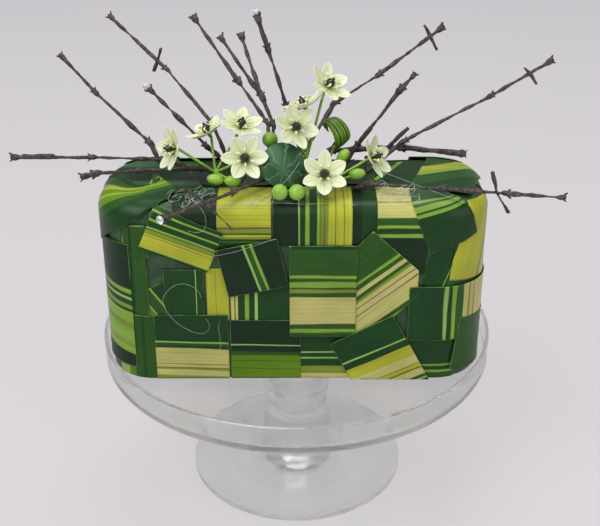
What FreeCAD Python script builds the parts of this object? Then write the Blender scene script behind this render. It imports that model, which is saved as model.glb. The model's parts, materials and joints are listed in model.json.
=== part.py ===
import FreeCAD, Part
import Sketcher
import math
import os
import re
from FreeCAD import Placement, Rotation, Vector

# Flower frog: a floral foam block clad in cut dracaena leaf, holding twigs and flower sprays,
# standing on a footed glass dish. Millimetres, +Z up, origin at the centre of the foot's rest face.
# +X runs along the block and -Y is its front.

doc = FreeCAD.newDocument("flower_frog")

# ---------------------------------------------------------------- driving dimensions
SIZES = {
    # glass dish and pedestal
    "foot_radius": 70.0,
    "foot_edge": 3.5,
    "foot_flare_start": 65.0,
    "foot_flare_rise": 5.0,
    "foot_flare_curve": 52.0,
    "neck_radius": 20.0,
    "neck_height": 23.0,
    "ring_radius": 22.5,
    "ring_base": 25.0,
    "ring_top": 31.0,
    "cup_base_radius": 20.5,
    "cup_base_height": 34.0,
    "cup_mouth_radius": 28.0,
    "cup_flare_curve": 150.0,
    "cup_wall": 3.0,
    "cup_floor": 40.0,
    "cup_floor_round": 8.0,
    "plate_underside": 89.0,
    "plate_thickness": 4.5,
    "plate_edge_round": 5.0,
    "rim_height": 18.5,
    "rim_wall": 2.2,
    "rim_gap": 1.8,
    "rim_inner_round": 2.0,
    # foam block
    "foam_length": 226.0,
    "foam_depth": 80.0,
    "foam_height": 113.0,
    "foam_corner": 28.0,
    "foam_top_round": 9.0,
    "foam_x": -1.5,
    "foam_y": -9.0,
    # leaf cladding
    "leaf_thickness": 0.4,
    "leaf_pitch": 0.5,
    "leaf_hem_gap": 0.4,
    # stems
    "stem_depth": 24.0,
    "stem_clearance": 0.08,
    "leaf_hole_clearance": 0.5,
    "twig_radius": 1.25,
    "twig_taper": 0.35,
    "thick_twig_radius": 1.75,
    "node_length": 3.0,
    "node_swelling": 0.75,
    "bud_length": 4.5,
    "bud_radius": 1.0,
    "flower_stem_radius": 1.3,
    "pedicel_radius": 0.7,
    # flowers and trims
    "tepal_length": 14.5,
    "tepal_half_width": 3.3,
    "tepal_thickness": 0.5,
    "tepal_cup_radius": 24.0,
    "ovary_radius": 2.3,
    "ovary_height": 3.2,
    "anther_length": 5.0,
    "anther_radius": 0.8,
    "berry_radius": 4.6,
    "long_bud_radius": 3.2,
    "long_bud_length": 10.0,
    "crystal_radius": 2.6,
    "crystal_length": 3.4,
    "pin_radius": 0.45,
    "pin_leg": 18.0,
    "pin_span": 12.0,
    "round_leaf_radius": 13.0,
    "round_leaf_dome": 26.0,
    "loop_radius": 7.5,
    "loop_width": 12.0,
    "petiole_radius": 0.9,
}

sheet = doc.addObject("Spreadsheet::Sheet", "Sizes")
for row, (alias, value) in enumerate(SIZES.items(), start=1):
    sheet.set(f"A{row}", alias)
    sheet.set(f"B{row}", str(value))
    sheet.setAlias(f"B{row}", alias)
doc.recompute()


def value_of(formula):
    """Number that a formula over the sheet's aliases gives."""
    return float(sheet.evalExpression(formula))


def bind(thing, prop, formula):
    """Tie a property to a formula whose words are aliases of the sheet."""
    words = r"\b[a-z_]{3,}\b(?!\()"
    thing.setExpression(prop, re.sub(words, lambda word: "Sizes." + word.group(), formula))


def label(thing, name):
    thing.Label = name
    return thing


# ---------------------------------------------------------------- sketches and bodies
def origin_plane(body, role):
    return next(plane for plane in body.Origin.OriginFeatures if plane.Role == role)


def pin_point(sketch, geometry, end, corner):
    """Hold one end of a line or arc at a corner given as two formulas."""
    for kind, axis, formula in (("DistanceX", -2, corner[0]), ("DistanceY", -1, corner[1])):
        if formula == "0":
            sketch.addConstraint(Sketcher.Constraint("PointOnObject", geometry, end, axis))
        else:
            index = sketch.addConstraint(
                Sketcher.Constraint(kind, -1, 1, geometry, end, value_of(formula)))
            bind(sketch, f"Constraints[{index}]", formula)


def arc_between(start, end, radius, left_turn):
    """Minor arc from start to end, turning left or right, and which of its ends is the start."""
    chord = end - start
    normal = Vector(-chord.y, chord.x, 0).normalize()
    rise = math.sqrt(max(radius ** 2 - (chord.Length / 2) ** 2, 0.0))
    centre = (start + end) / 2 + normal * (rise if left_turn else -rise)
    angles = [math.atan2(point.y - centre.y, point.x - centre.x) for point in (start, end)]
    if not left_turn:
        angles.reverse()
    if angles[1] < angles[0]:
        angles[1] += 2 * math.pi
    return Part.ArcOfCircle(Part.Circle(centre, Vector(0, 0, 1), radius), angles[0], angles[1])


def closed_sketch(body, name, plane, corners):
    """Closed outline through corners (x, y), or (x, y, radius, side) for an arc that ends there."""
    sketch = body.newObject("Sketcher::SketchObject", name)
    sketch.AttachmentSupport = [(origin_plane(body, plane), "")]
    sketch.MapMode = "FlatFace"
    points = [Vector(value_of(corner[0]), value_of(corner[1]), 0) for corner in corners]
    ends = []
    for index, corner in enumerate(corners):
        start = points[index - 1]
        end = points[index]
        if len(corner) == 2:
            geometry = sketch.addGeometry(Part.LineSegment(start, end))
            ends.append((geometry, 1, 2))
        else:
            left_turn = corner[3] == "left"
            arc = arc_between(start, end, value_of(corner[2]), left_turn)
            geometry = sketch.addGeometry(arc)
            ends.append((geometry, 1, 2) if left_turn else (geometry, 2, 1))
            number = sketch.addConstraint(
                Sketcher.Constraint("Radius", geometry, value_of(corner[2])))
            bind(sketch, f"Constraints[{number}]", corner[2])
    for index, (geometry, first, last) in enumerate(ends):
        previous, _, previous_last = ends[index - 1]
        sketch.addConstraint(
            Sketcher.Constraint("Coincident", previous, previous_last, geometry, first))
        pin_point(sketch, geometry, last, corners[index])
    return sketch


def revolved_body(name, corners):
    """Turned piece from its half profile (radius, height)."""
    body = doc.addObject("PartDesign::Body", name)
    sketch = closed_sketch(body, name + "_profile", "XZ_Plane", corners)
    turned = body.newObject("PartDesign::Revolution", name + "_turned")
    turned.Profile = sketch
    turned.ReferenceAxis = (sketch, ["V_Axis"])
    turned.Angle = 360
    sketch.Visibility = False
    return label(body, name)


def rounded_block(name, grow, gap):
    """The foam block's form, grown outward by one formula, its base raised by another."""
    body = doc.addObject("PartDesign::Body", name)
    wide = f"foam_length + 2 * ({grow})"
    deep = f"foam_depth + 2 * ({grow})"
    corner = f"foam_corner + {grow}"
    sketch = closed_sketch(body, name + "_plan", "XY_Plane", [
        (f"{wide} - ({corner})", "0"),
        (wide, corner, corner, "left"),
        (wide, f"{deep} - ({corner})"),
        (f"{wide} - ({corner})", deep, corner, "left"),
        (corner, deep),
        ("0", f"{deep} - ({corner})", corner, "left"),
        ("0", corner),
        (corner, "0", corner, "left"),
    ])
    pad = body.newObject("PartDesign::Pad", name + "_pad")
    pad.Profile = sketch
    bind(pad, "Length", f"foam_height + {grow} - ({gap})")
    doc.recompute()
    top = pad.Shape.BoundBox.ZMax
    loop = [
        f"Edge{number}" for number, edge in enumerate(pad.Shape.Edges, start=1)
        if abs(edge.BoundBox.ZMin - top) < 1e-6
    ]
    fillet = body.newObject("PartDesign::Fillet", name + "_round")
    fillet.Base = (pad, loop)
    bind(fillet, "Radius", f"foam_top_round + {grow}")
    bind(body, "Placement.Base.x", f"foam_x - foam_length / 2 - ({grow})")
    bind(body, "Placement.Base.y", f"foam_y - foam_depth / 2 - ({grow})")
    bind(body, "Placement.Base.z", f"plate_underside + plate_thickness + {gap}")
    return label(body, name)


def boolean(kind, name, base, tool):
    """Part::Cut or Part::Common of two objects."""
    result = doc.addObject(kind, name)
    result.Base = base
    result.Tool = tool
    return result


def joined(name, pieces):
    """One solid from overlapping pieces."""
    fuse = doc.addObject("Part::MultiFuse", name)
    fuse.Shapes = pieces
    return fuse


def grouped(name, pieces):
    """Separate solids kept in one sub-part."""
    group = doc.addObject("Part::Compound", name)
    group.Links = pieces
    return group


def along(start, direction):
    """Placement that turns +Z to a direction and moves to a start point."""
    return Placement(start, Rotation(Vector(0, 0, 1), direction))


def rod(name, start, end, start_radius, end_radius):
    """Tapered round rod between two points; radii are formulas."""
    cone = doc.addObject("Part::Cone", name)
    bind(cone, "Radius1", start_radius)
    bind(cone, "Radius2", end_radius)
    cone.Height = (end - start).Length
    cone.Placement = along(start, end - start)
    return cone


def oval(name, centre, direction, half_length, radius):
    """Bud or berry: an ellipsoid along a direction; sizes are formulas."""
    egg = doc.addObject("Part::Ellipsoid", name)
    bind(egg, "Radius1", half_length)
    bind(egg, "Radius2", radius)
    bind(egg, "Radius3", radius)
    egg.Placement = along(centre, direction)
    return egg


FOAM_BASE = value_of("plate_underside + plate_thickness")
FOAM_TOP = FOAM_BASE + value_of("foam_height")
FOAM_CENTRE = Vector(value_of("foam_x"), value_of("foam_y"), 0)
HALF_LENGTH = value_of("foam_length / 2")
HALF_DEPTH = value_of("foam_depth / 2")


def above(across, back, up):
    """Point measured from the centre of the foam block's top."""
    return FOAM_CENTRE + Vector(across, back, FOAM_TOP + up)


# ---------------------------------------------------------------- glass dish on its pedestal
glass_pedestal = revolved_body("glass_pedestal", [
    ("foot_radius", "0"),
    ("foot_radius", "foot_edge"),
    ("foot_flare_start", "foot_flare_rise"),
    ("neck_radius", "neck_height", "foot_flare_curve", "right"),
    ("ring_radius", "ring_base"),
    ("ring_radius", "ring_top"),
    ("cup_base_radius", "cup_base_height"),
    ("cup_mouth_radius", "plate_underside", "cup_flare_curve", "right"),
    ("cup_mouth_radius - cup_wall", "plate_underside"),
    ("cup_base_radius - cup_wall", "cup_floor + cup_floor_round", "cup_flare_curve", "left"),
    ("cup_base_radius - cup_wall - cup_floor_round", "cup_floor", "cup_floor_round", "right"),
    ("0", "cup_floor"),
    ("0", "0"),
])
# The dish is chosen to take the block: its inside clears the block's corners by rim_gap.
PLATE_RADIUS = ("(sqrt((abs(foam_x) + foam_length / 2 - foam_corner)^2"
                " + (abs(foam_y) + foam_depth / 2 - foam_corner)^2)"
                " + foam_corner + rim_gap + rim_inner_round + rim_wall)")
glass_plate = revolved_body("glass_plate", [
    (PLATE_RADIUS + " - plate_edge_round", "plate_underside"),
    (PLATE_RADIUS, "plate_underside + plate_edge_round", "plate_edge_round", "left"),
    (PLATE_RADIUS, "plate_underside + rim_height"),
    (PLATE_RADIUS + " - rim_wall", "plate_underside + rim_height", "rim_wall * 0.6", "left"),
    (PLATE_RADIUS + " - rim_wall", "plate_underside + plate_thickness + rim_inner_round"),
    (PLATE_RADIUS + " - rim_wall - rim_inner_round", "plate_underside + plate_thickness",
     "rim_inner_round", "right"),
    ("0", "plate_underside + plate_thickness"),
    ("0", "plate_underside"),
])

# ---------------------------------------------------------------- leaf layers round the block
LAYERS = 6


def leaf_layer(layer):
    """Thin skin of leaf, one layer further out for each number."""
    inner = f"leaf_pitch * {layer}"
    outer = f"leaf_pitch * {layer} + leaf_thickness"
    outside = rounded_block(f"layer_{layer}_outside", outer, "leaf_hem_gap")
    inside = rounded_block(f"layer_{layer}_inside", inner, "leaf_hem_gap")
    return boolean("Part::Cut", f"layer_{layer}", outside, inside)


leaf_layers = [leaf_layer(layer) for layer in range(LAYERS)]

# Outward normal of each face as a turn about +Z, and its half width.
FACES = {"front": (0, HALF_LENGTH), "back": (180, HALF_LENGTH),
         "left": (-90, HALF_DEPTH), "right": (90, HALF_DEPTH)}
CUT_OUTSIDE = 6.0


def cutter(name, wide, deep, high, placement):
    """Block that cuts one square of leaf out of a layer."""
    box = doc.addObject("Part::Box", name)
    box.Length = wide
    box.Width = deep
    box.Height = high
    centred = Placement(Vector(-wide / 2, -CUT_OUTSIDE, -high / 2), Rotation())
    box.Placement = placement.multiply(centred)
    return box


def side_square(name, face, layer, across, up, wide, high, turn, reach=8.0):
    """Leaf square on an upright face; across and up are percent of half width and height."""
    yaw, half_width = FACES[face]
    out = HALF_DEPTH if half_width == HALF_LENGTH else HALF_LENGTH
    height = FOAM_BASE + up / 100 * (FOAM_TOP - FOAM_BASE)
    spot = Vector(across / 100 * half_width, -out, 0)
    turned = Rotation(Vector(0, 0, 1), yaw)
    centre = FOAM_CENTRE + Vector(0, 0, height) + turned.multVec(spot)
    tilt = Rotation(Vector(0, -1, 0), turn)
    box = cutter(name + "_cut", wide, reach + CUT_OUTSIDE, high,
                 Placement(centre, turned.multiply(tilt)))
    return boolean("Part::Common", name, leaf_layers[layer], box)


def top_square(name, layer, across, back, wide, long, turn, reach=3.0):
    """Leaf strip on the block's top; across and back are percent of half length and half depth."""
    centre = above(across / 100 * HALF_LENGTH, back / 100 * HALF_DEPTH, 0)
    face_up = Rotation(Vector(1, 0, 0), -90)
    turned = Rotation(Vector(0, 0, 1), turn)
    box = cutter(name + "_cut", wide, reach + CUT_OUTSIDE, long,
                 Placement(centre, turned.multiply(face_up)))
    return boolean("Part::Common", name, leaf_layers[layer], box)


# name: (layer, across, up, wide, high, turn, reach round the edge)
FRONT_LEAVES = {
    "left_corner_leaf": [(4, -88, 97, 50, 30, 30, 45)],
    "left_corner_strap": [(3, -95, 43, 24, 82, 0, 45), (1, -84, 3, 22, 16, 0, 30)],
    "left_upright_straps": [(2, -83, 63, 13, 54, 0, 12), (2, -79, 19, 14, 44, 0, 10)],
    "dark_leaves": [(5, -80, 74, 20, 20, 0, 8), (1, -48, 90, 30, 36, 0, 26),
                    (2, -57, 51, 23, 33, 0, 8), (1, -72, 44, 22, 24, 28, 8),
                    (1, 36, 85, 20, 46, 0, 26), (1, 77, 69, 18, 34, -12, 10),
                    (1, 16, 14, 36, 36, 0, 8)],
    "upper_leaf_1": [(3, -57, 82, 42, 27, -22, 8)],
    "upper_leaf_2": [(2, -25, 92, 31, 30, 0, 26)],
    "upper_leaf_3": [(2, 9.5, 92, 45.5, 30, 0, 26)],
    "upper_leaf_4": [(2, 55, 84, 29, 48, 0, 30)],
    "upper_leaf_5": [(3, 78, 92, 32, 36, 20, 22)],
    "right_corner_leaf": [(2, 95, 78, 26, 46, -10, 32)],
    "middle_leaf_1": [(5, -21, 67, 36, 31, 12, 8)],
    "middle_leaf_2": [(1, -17, 48, 36, 34, 0, 8), (1, -39.5, 51, 13, 34, 0, 8)],
    "middle_leaf_3": [(4, 12, 53, 46, 60, 0, 8)],
    "middle_leaf_4": [(3, 35, 58, 37, 57, -43, 8)],
    "middle_leaf_5": [(3, 82, 40, 50, 36, 0, 42)],
    "lower_leaf_1": [(3, -54, 19, 44, 46, 0, 8)],
    "lower_leaf_2": [(2, -15, 17, 42, 43, 0, 8)],
    "lower_leaf_3": [(5, 46, 11, 42, 51, 28, 8)],
    "lower_leaf_4": [(1, 73, 12, 28, 30, 0, 10), (4, 92, 24, 22, 44, -8, 32)],
}

TOP_LEAVES = [
    (3, -76, 8, 46, 62, 24),
    (1, -40, 24, 34, 40, -14),
    (2, -8, 24, 40, 38, 8),
    (3, 24, 26, 34, 38, -6),
    (1, 58, 24, 38, 38, 12),
    (4, 82, 8, 36, 50, -18),
]

BACK_ROWS = 3
BACK_COLUMNS = 6
BACK_TURNS = (-12, 6, 0, 18, -5)


def back_squares():
    """Squares in rows over the back, each lapping its neighbours."""
    squares = []
    for row in range(BACK_ROWS):
        for column in range(BACK_COLUMNS):
            layer = 1 + (2 * row + column) % (LAYERS - 1)
            turn = BACK_TURNS[(row * BACK_COLUMNS + column) % len(BACK_TURNS)]
            across = -82.5 + 33 * column
            up = 17 + 33 * row
            squares.append(side_square(
                f"back_square_{row}_{column}", "back", layer, across, up, 42, 42, turn))
    return squares


def end_squares(face, layers, across):
    """A column of squares on one end, clear of the corner leaves."""
    return [
        side_square(f"{face}_square_{row}", face, layer, across, 17 + 33 * row, 34, 42, 0)
        for row, layer in enumerate(layers)
    ]


# ---------------------------------------------------------------- stems and their holes
def stem_line(entry, first):
    """Root point and unit direction of a stem that is pushed in at entry towards first."""
    direction = (first - entry).normalize()
    return entry - direction * value_of("stem_depth"), direction


foam_holes = []
leaf_holes = []


def bore(name, root, direction, radius):
    """Blind hole in the foam, and a looser one through the leaf above it."""
    hole = doc.addObject("Part::Cylinder", name + "_hole")
    bind(hole, "Radius", f"{radius} + stem_clearance")
    bind(hole, "Height", "stem_depth * 2.5 + stem_clearance")
    hole.Placement = along(root - direction * value_of("stem_clearance"), direction)
    foam_holes.append(hole)
    slot = doc.addObject("Part::Cylinder", name + "_leaf_hole")
    bind(slot, "Radius", f"{radius} + leaf_hole_clearance")
    bind(slot, "Height", "stem_depth * 2.5")
    slot.Placement = hole.Placement
    leaf_holes.append(slot)


def twig(name, radius, stem, forks=(), side_shoots=()):
    """Woody twig: a straight inserted end, then tapering lengths with a swollen node at each kink.

    stem lists points from the foam's surface outward, forks lists further branches from a point,
    and side_shoots lists (start, end) pairs of short opposite shoots.
    """
    points = [above(*point) for point in stem]
    root, direction = stem_line(points[0], points[1])
    bore(name, root, direction, radius)
    tip_radius = f"({radius} - twig_taper)"
    pieces = [rod(f"{name}_stem", root, points[1], radius, f"{radius} * 0.98")]
    branches = [points[1:]]
    branches += [[above(*point) for point in fork] for fork in forks]
    for number, branch in enumerate(branches):
        for index, (start, end) in enumerate(zip(branch, branch[1:])):
            tag = f"{name}_{number}_{index}"
            pieces.append(rod(tag, start, end, f"{radius} * 0.98", tip_radius))
            pieces += node(tag, start, (end - start).normalize(), radius)
        pieces += node(f"{name}_{number}_tip", end, (end - start).normalize(), radius)
    for number, (start, end) in enumerate(side_shoots):
        pieces.append(rod(f"{name}_shoot_{number}", above(*start), above(*end),
                          f"{radius} * 0.8", f"{radius} * 0.7"))
    return joined(name, pieces)


def node(name, centre, direction, radius):
    """Swollen node of a twig with a pair of opposite buds."""
    reach = direction * value_of("node_length")
    swollen = f"{radius} * 0.9 + node_swelling"
    side = direction.cross(Vector(0.3, -1, 0.2)).normalize()
    pieces = [
        rod(f"{name}_below", centre - reach, centre, f"{radius} * 0.7", swollen),
        rod(f"{name}_above", centre, centre + reach, swollen, f"{radius} * 0.6"),
    ]
    for sign in (-1, 1):
        bud = (direction + side * sign * 0.75).normalize() * value_of("bud_length")
        pieces.append(rod(f"{name}_bud_{sign + 1}", centre, centre + bud,
                          "bud_radius", "bud_radius * 0.3"))
    return pieces


def crystal(name, seat, direction):
    """Cut glass bead whose flat seat is glued to a twig."""
    unit = direction.normalize()
    waist = seat + unit * value_of("crystal_length * 0.6")
    crown = seat + unit * value_of("crystal_length")
    return joined(name, [
        rod(name + "_pavilion", seat, waist, "crystal_radius * 0.3", "crystal_radius"),
        rod(name + "_crown", waist, crown, "crystal_radius", "crystal_radius * 0.6"),
    ])


# ---------------------------------------------------------------- foam block, pins and leaf
def staple(name, face, across, up):
    """Greening pin: a wire staple pushed in flush over the under-leaf."""
    yaw, half_width = FACES[face]
    out = HALF_DEPTH if half_width == HALF_LENGTH else HALF_LENGTH
    turned = Rotation(Vector(0, 0, 1), yaw)
    skin = value_of("leaf_thickness - pin_radius")
    height = FOAM_BASE + up / 100 * (FOAM_TOP - FOAM_BASE)
    half_span = value_of("pin_span / 2")

    def spot(side, depth):
        local = Vector(across / 100 * half_width + side * half_span, -out - skin + depth, 0)
        return FOAM_CENTRE + Vector(0, 0, height) + turned.multVec(local)

    leg = value_of("pin_leg")
    pieces = [wire(name + "_crown", spot(-1, 0), spot(1, 0))]
    pieces += [wire(f"{name}_leg_{side + 1}", spot(side, 0), spot(side, leg)) for side in (-1, 1)]
    return joined(name, pieces)


def wire(name, start, end):
    piece = doc.addObject("Part::Cylinder", name)
    bind(piece, "Radius", "pin_radius")
    piece.Height = (end - start).Length
    piece.Placement = along(start, end - start)
    return piece


PIN_PLACES = {"front": (-62, -20, 22, 64), "back": (-62, -20, 22, 64),
              "left": (0,), "right": (0,)}
PIN_UP = 60
leaf_pins = grouped("leaf_pins", [
    staple(f"pin_{face}_{number}", face, across, PIN_UP)
    for face, places in PIN_PLACES.items() for number, across in enumerate(places)
])

# ---------------------------------------------------------------- twigs
# Points are (across, back, up) from the centre of the foam's top; the first lies on the foam.
twigs = {
    "flat_left_twig": twig("flat_left_twig", "twig_radius",
        [(-64.5, 22, 0), (-78.9, 18, 6.9), (-121.1, 10, 11.2), (-165.1, 0, 14.9)],
        side_shoots=[((-161, 1, 15.4), (-143, 5, 14.2))]),
    "low_left_twig": twig("low_left_twig", "twig_radius",
        [(-40.6, -0.9, 0), (-53.1, 2, 7.2), (-90.6, -6, 9.0), (-114.9, -12, 9.4), (-121.6, -14, 8.4)]),
    "side_left_twig": twig("side_left_twig", "twig_radius",
        [(-82.5, 26, 0), (-89.5, 32, 12.5), (-123.5, 46, 40.5), (-144.5, 56, 60.5)]),
    "cross_left_twig": twig("cross_left_twig", "twig_radius",
        [(-38.5, 20, 0), (-50.5, 34, 24.5), (-79.5, 56, 52.5), (-115.5, 76, 80.5)],
        side_shoots=[((-85.6, 59.4, 57.3), (-83.1, 59, 65.4)),
                     ((-85.6, 59.4, 57.3), (-88.6, 60, 50.5))]),
    "crystal_left_twig": twig("crystal_left_twig", "twig_radius",
        [(-34.5, 14, 0), (-42.3, 16.2, 6.5), (-53.1, 20, 14.6), (-85.7, 28, 46.8)]),
    "tall_left_twig": twig("tall_left_twig", "twig_radius",
        [(-14.5, 24, 0), (-16.5, 38, 23.5), (-34.5, 54, 44.5), (-62.5, 76, 79.5)]),
    "forked_twig": twig("forked_twig", "twig_radius",
        [(-12.5, 10, 0), (-12.5, 22, 27.5), (-19.5, 30, 42.5), (-43.5, 44, 74.5)],
        forks=[[(-19.5, 30, 42.5), (-32.5, 58, 72.5)]]),
    "centre_twig": twig("centre_twig", "twig_radius * 1.15",
        [(5, 17, 0), (1.8, 20, 22.3), (-4.1, 19, 39.6), (-14.9, 16, 75.6), (-20.4, 14, 93.5)]),
    "cross_right_twig": twig("cross_right_twig", "twig_radius",
        [(1.5, 30, 0), (25.5, 54, 31.5), (53.5, 68, 45.5), (94.5, 88, 70.5)],
        side_shoots=[((87.9, 84.8, 66.5), (83.4, 85, 74.0)),
                     ((87.9, 84.8, 66.5), (92.7, 85, 57.3))]),
    "short_right_twig": twig("short_right_twig", "twig_radius * 1.1",
        [(27.5, 14, 0), (37.5, 16, 15.5), (62.5, 14, 51.5), (69.5, 13, 60.5)]),
    "long_right_twig": twig("long_right_twig", "twig_radius",
        [(43, 12, 0), (66.4, 16.4, 19.4), (121.5, 42, 39.5), (159.5, 56, 57.5)],
        side_shoots=[((147, 51.4, 51.5), (142.7, 51.5, 55.1)),
                     ((147, 51.4, 51.5), (151.9, 51.5, 44.3))]),
    "thick_flat_twig": twig("thick_flat_twig", "thick_twig_radius",
        [(14, 26, 0), (22.3, 30, 8.4), (65.3, 26, 11.8), (103.1, 22, 9.3)],
        side_shoots=[((22.3, 30, 8.4), (25.8, 28.6, 14.6)),
                     ((65.3, 26, 11.8), (68.4, 24.5, 14.6)),
                     ((57.5, 26.7, 11.2), (70.4, 27, 24.3)),
                     ((57.5, 26.7, 11.2), (43.8, 26, 4.4))]),
    "low_right_twig": twig("low_right_twig", "twig_radius",
        [(33, -15, 0), (43.1, -18, 5.2), (83.6, -28, 6.2), (117.9, -42, 9.2), (146.1, -54, 11.8)],
        side_shoots=[((113.8, -40.3, 8.8), (110.4, -40, 21.2)),
                     ((113.8, -40.3, 8.8), (121.3, -40, -3.4))]),
    "front_twig": twig("front_twig", "twig_radius",
        [(1, 6, 0), (-4.7, 2, 6.1), (-33.1, -34, 7.1), (-67.6, -68, 6.0)],
        side_shoots=[((-48.6, -50, 6.8), (-33.3, -56, -7.1)),
                     ((-48.6, -50, 6.8), (-61.5, -54, 19.4))]),
}


def tip_crystal(name, before, tip):
    """Crystal on the end of a twig's last length."""
    direction = above(*tip) - above(*before)
    seat = above(*tip) + direction.normalize() * value_of("node_length")
    return crystal(name, seat, direction)


crystals = {
    "crystal_left_bead": tip_crystal("crystal_left_bead", (-53.1, 20, 14.6), (-85.7, 28, 46.8)),
    "centre_bead": tip_crystal("centre_bead", (-14.9, 16, 75.6), (-20.4, 14, 93.5)),
    "front_bead": tip_crystal("front_bead", (-33.1, -34, 7.1), (-67.6, -68, 6.0)),
    "thick_twig_beads": grouped("thick_twig_beads", [
        crystal("thick_bead_left", above(25.8, 28.6, 14.6), Vector(3.5, -1.4, 6.2)),
        crystal("thick_bead_right", above(68.4, 24.5, 14.6), Vector(3.1, -1.5, 2.8)),
    ]),
}

# ---------------------------------------------------------------- flower sprays
petal_body = doc.addObject("PartDesign::Body", "petal_star")
petal_arc = ("(tepal_length * tepal_length / 4 + tepal_half_width * tepal_half_width)"
             " / (2 * tepal_half_width)")
petal_outline = closed_sketch(petal_body, "petal_outline", "XY_Plane", [
    ("tepal_length", "0", petal_arc, "left"),
    ("0", "0", petal_arc, "left"),
])
petal_pad = petal_body.newObject("PartDesign::Pad", "petal_pad")
petal_pad.Profile = petal_outline
bind(petal_pad, "Length", "tepal_cup_radius")
doc.recompute()
petal_ring = petal_body.newObject("PartDesign::PolarPattern", "petal_ring")
petal_ring.Originals = [petal_pad]
petal_ring.Axis = (petal_outline, ["N_Axis"])
petal_ring.Angle = 360
petal_ring.Occurrences = 6
petal_body.Tip = petal_ring


def cup_sphere(name, radius):
    """Sphere whose lowest point is a little above the flower's base."""
    ball = doc.addObject("Part::Sphere", name)
    bind(ball, "Radius", radius)
    bind(ball, "Placement.Base.z", "tepal_cup_radius")
    return ball


petal_cup = boolean("Part::Cut", "petal_cup", cup_sphere("cup_outside", "tepal_cup_radius"),
                    cup_sphere("cup_inside", "tepal_cup_radius - tepal_thickness"))
tepals = boolean("Part::Common", "tepals", petal_cup, petal_body)


def flower_heart():
    """Dark ovary in a ring of six stamens, seated in the cup of tepals."""
    floor = value_of("tepal_thickness")
    centre = Vector(0, 0, floor + value_of("ovary_height"))
    pieces = [oval("ovary", centre, Vector(0, 0, 1), "ovary_height", "ovary_radius")]
    for number in range(6):
        angle = math.radians(60 * number + 30)
        outward = Vector(math.cos(angle), math.sin(angle), 1.1).normalize()
        start = Vector(0, 0, floor + value_of("anther_radius"))
        end = start + outward * (value_of("ovary_radius + anther_length"))
        pieces.append(rod(f"stamen_{number}", start, end, "anther_radius * 0.5", "anther_radius"))
    return joined("flower_heart", pieces)


heart = flower_heart()


def placed_copy(name, template, placement):
    link = doc.addObject("App::Link", name)
    link.LinkedObject = template
    link.LinkPlacement = placement
    return link


def spray(name, stem, flowers, berries=(), buds=()):
    """Flower spray: inserted stem, pedicels, and a tepal cup and heart for each flower.

    flowers lists (centre, facing, spin); berries and buds list (centre, direction).
    """
    points = [above(*point) for point in stem]
    root, direction = stem_line(points[0], points[1])
    bore(name, root, direction, "flower_stem_radius")
    top = points[-1]
    pieces = [rod(name + "_axis", root, top, "flower_stem_radius", "flower_stem_radius * 0.9")]
    cups = []
    hearts = []
    for number, (centre, facing, spin) in enumerate(flowers):
        seat = above(*centre)
        turn = along(seat, Vector(*facing))
        back = turn.multVec(Vector(0, 0, -value_of("tepal_cup_radius") * 0.12))
        pieces.append(rod(f"{name}_pedicel_{number}", top, back,
                          "pedicel_radius", "pedicel_radius * 1.2"))
        pieces.append(rod(f"{name}_receptacle_{number}", back, seat,
                          "pedicel_radius * 1.2", "pedicel_radius * 2"))
        spun = turn.multiply(Placement(Vector(), Rotation(Vector(0, 0, 1), spin)))
        cups.append(placed_copy(f"{name}_cup_{number}", tepals, spun))
        hearts.append(placed_copy(f"{name}_heart_{number}", heart, spun))
    for number, (centre, lie) in enumerate(berries):
        pieces.append(rod(f"{name}_berry_stalk_{number}", top, above(*centre),
                          "pedicel_radius", "pedicel_radius * 0.9"))
        pieces.append(oval(f"{name}_berry_{number}", above(*centre), Vector(*lie),
                           "berry_radius", "berry_radius"))
    for number, (centre, lie) in enumerate(buds):
        pieces.append(rod(f"{name}_bud_stalk_{number}", top, above(*centre),
                          "pedicel_radius", "pedicel_radius * 0.9"))
        pieces.append(oval(f"{name}_bud_{number}", above(*centre), Vector(*lie),
                           "long_bud_length / 2", "long_bud_radius"))
    return {
        name + "_stems": joined(name + "_stems", pieces),
        name + "_tepals": grouped(name + "_tepals", cups),
        name + "_hearts": grouped(name + "_hearts", hearts),
    }


sprays = {}
sprays.update(spray("left_spray", [(-46, -8, 0), (-46, -9, 9)],
    [((-68.2, -15.3, 25.6), (-0.8, -0.45, 0.25), 10), ((-50.5, 8, 27.0), (-0.45, 0.0, 0.9), 0),
     ((-31.4, 2, 33.0), (0.25, -0.3, 0.9), 30), ((-28.3, -16, 20.0), (0.1, -0.85, 0.5), 6)],
    buds=[((-45.6, -17, 7.6), (1, 0, -0.15)), ((-35.6, -17, 6.6), (1, 0, -0.1))]))
sprays.update(spray("centre_spray", [(9.5, 0.5, 0), (7.6, -1, 14.2)],
    [((0.5, -8, 36.0), (0.35, -0.75, 0.5), 0), ((6.6, 4, 44.2), (-0.4, 0.1, 0.9), 33),
     ((19.5, 5, 57.0), (0.5, -0.45, 0.7), 47)],
    berries=[((-14.1, 2, 25.4), (0, -1, 0.2))]))
sprays.update(spray("right_spray", [(16, -20, 0), (17, -22, 6)],
    [((17.4, -27, 14.0), (0.05, -0.75, 0.65), 30), ((46.0, -4, 16.1), (0.75, -0.35, 0.45), 0)],
    berries=[((-7.8, -37, 7.8), (0, 0, 1)), ((1.9, -37, 7.8), (0, 0, 1))],
    buds=[((36.8, -15, 10.2), (1, 0.1, 0.15)), ((29.0, -3, 16.8), (0.6, 0, 0.8))]))


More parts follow.
